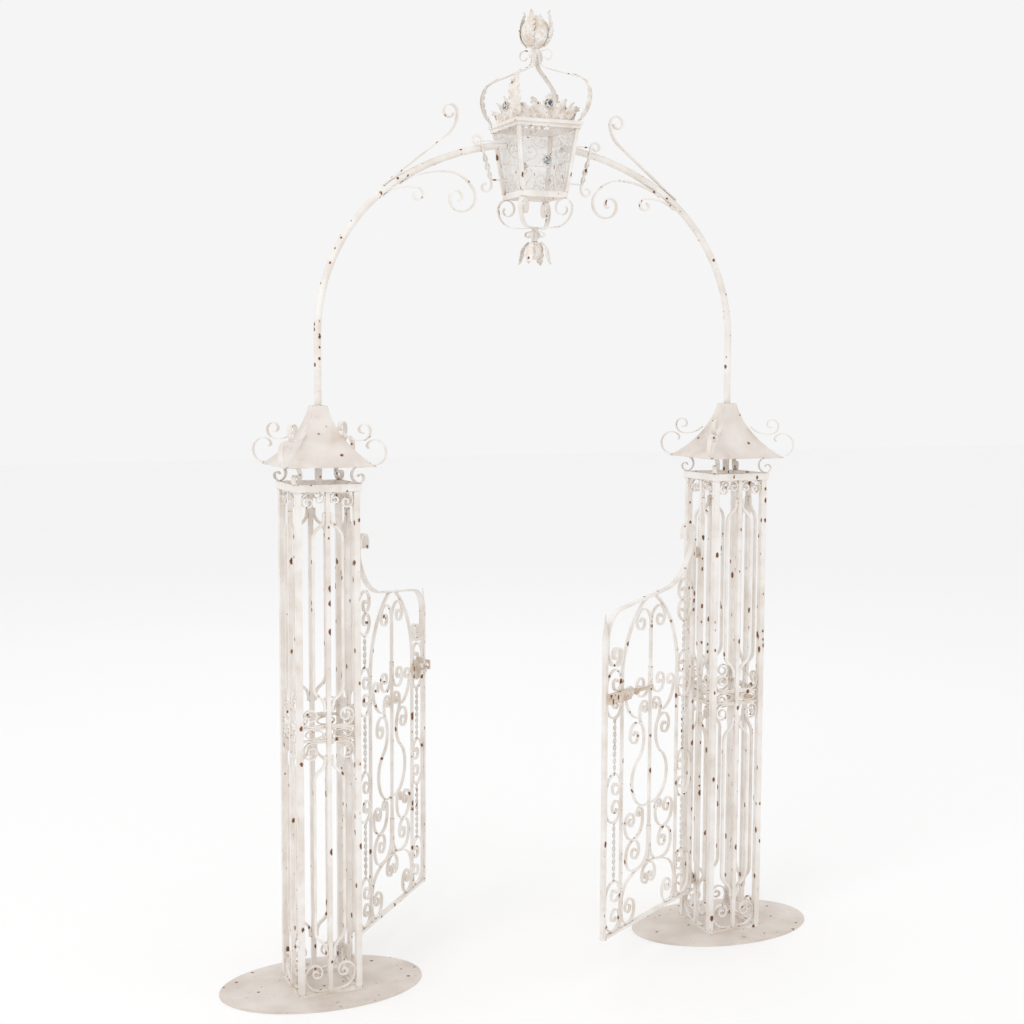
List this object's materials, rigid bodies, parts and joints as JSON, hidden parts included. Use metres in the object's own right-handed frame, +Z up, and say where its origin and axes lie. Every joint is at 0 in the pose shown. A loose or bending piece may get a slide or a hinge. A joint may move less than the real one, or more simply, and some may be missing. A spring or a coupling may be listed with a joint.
{
  "type": "garden gateway",
  "caption": "Openwork iron garden gateway: two square towers joined by an arch with a hanging lantern, and a pair of swinging scroll leaves with a slide bolt.",
  "frame": {"origin": "on the ground midway between the two towers, at the centre of the four anchor holes", "axes": "+Z up, +X from the left tower to the right tower, +Y to the far side of the gateway"},
  "size_m": [2.23, 0.8596, 3.266],
  "materials": {
    "painted_iron": "antique cream paint, worn at the edges to brown iron",
    "worn_iron": "iron with rubbed paint and brown rust",
    "crystal": "faceted smoky glass"
  },
  "bodies": {
    "frame": {"arch_scrolls": "painted_iron", "arch_tubes": "painted_iron", "crown_hoops": "painted_iron", "crown_leaves": "painted_iron", "crystals": "crystal", "finial_bud": "painted_iron", "finial_leaves": "painted_iron", "finial_neck": "painted_iron", "lantern_bottom": "painted_iron", "lantern_frame": "painted_iron", "lantern_hangers": "painted_iron", "lantern_panels": "painted_iron", "lantern_rim": "painted_iron", "left_base_plate": "painted_iron", "left_bottom_frame": "painted_iron", "left_corner_bars": "painted_iron", "left_face_scrolls": "painted_iron", "left_flank_bars": "painted_iron", "left_hinge_lugs": "worn_iron", "left_mid_band": "painted_iron", "left_mid_bars": "painted_iron", "left_roof": "painted_iron", "left_roof_scrolls": "painted_iron", "left_top_frame": "painted_iron", "pendant_arms": "painted_iron", "pendant_bud": "painted_iron", "right_base_plate": "painted_iron", "right_bottom_frame": "painted_iron", "right_corner_bars": "painted_iron", "right_face_scrolls": "painted_iron", "right_flank_bars": "painted_iron", "right_hinge_lugs": "worn_iron", "right_mid_band": "painted_iron", "right_mid_bars": "painted_iron", "right_roof": "painted_iron", "right_roof_scrolls": "painted_iron", "right_top_frame": "painted_iron"},
    "left_leaf": {"left_hinge_stile": "painted_iron", "left_hinge_eyes": "worn_iron", "left_latch_stile": "painted_iron", "left_bottom_rail": "painted_iron", "left_top_rail": "painted_iron", "left_pointed_arch": "painted_iron", "left_centre_bar": "painted_iron", "left_centre_scrolls": "painted_iron", "left_side_scrolls": "painted_iron", "left_twisted_bars": "painted_iron", "bolt_keeper": "worn_iron"},
    "right_leaf": {"right_hinge_stile": "painted_iron", "right_hinge_eyes": "worn_iron", "right_latch_stile": "painted_iron", "right_bottom_rail": "painted_iron", "right_top_rail": "painted_iron", "right_pointed_arch": "painted_iron", "right_centre_bar": "painted_iron", "right_centre_scrolls": "painted_iron", "right_side_scrolls": "painted_iron", "right_twisted_bars": "painted_iron", "bolt_case": "worn_iron"},
    "bolt": {"slide_bolt": "worn_iron"}
  },
  "joints": [
    {"name": "left_leaf_swing", "type": "hinge", "parent": "frame", "child": "left_leaf", "pos_m": [-0.65, 0, 0.176], "axis": [0, 0, 1], "range_deg": [-139, 41]},
    {"name": "right_leaf_swing", "type": "hinge", "parent": "frame", "child": "right_leaf", "pos_m": [0.65, 0, 0.176], "axis": [0, 0, 1], "range_deg": [-122.5, 57.5]},
    {"name": "bolt_slide", "type": "slide", "parent": "right_leaf", "child": "bolt", "axis": [-0.8434, -0.5373, 0], "range_m": [0, 0.04]}
  ]
}
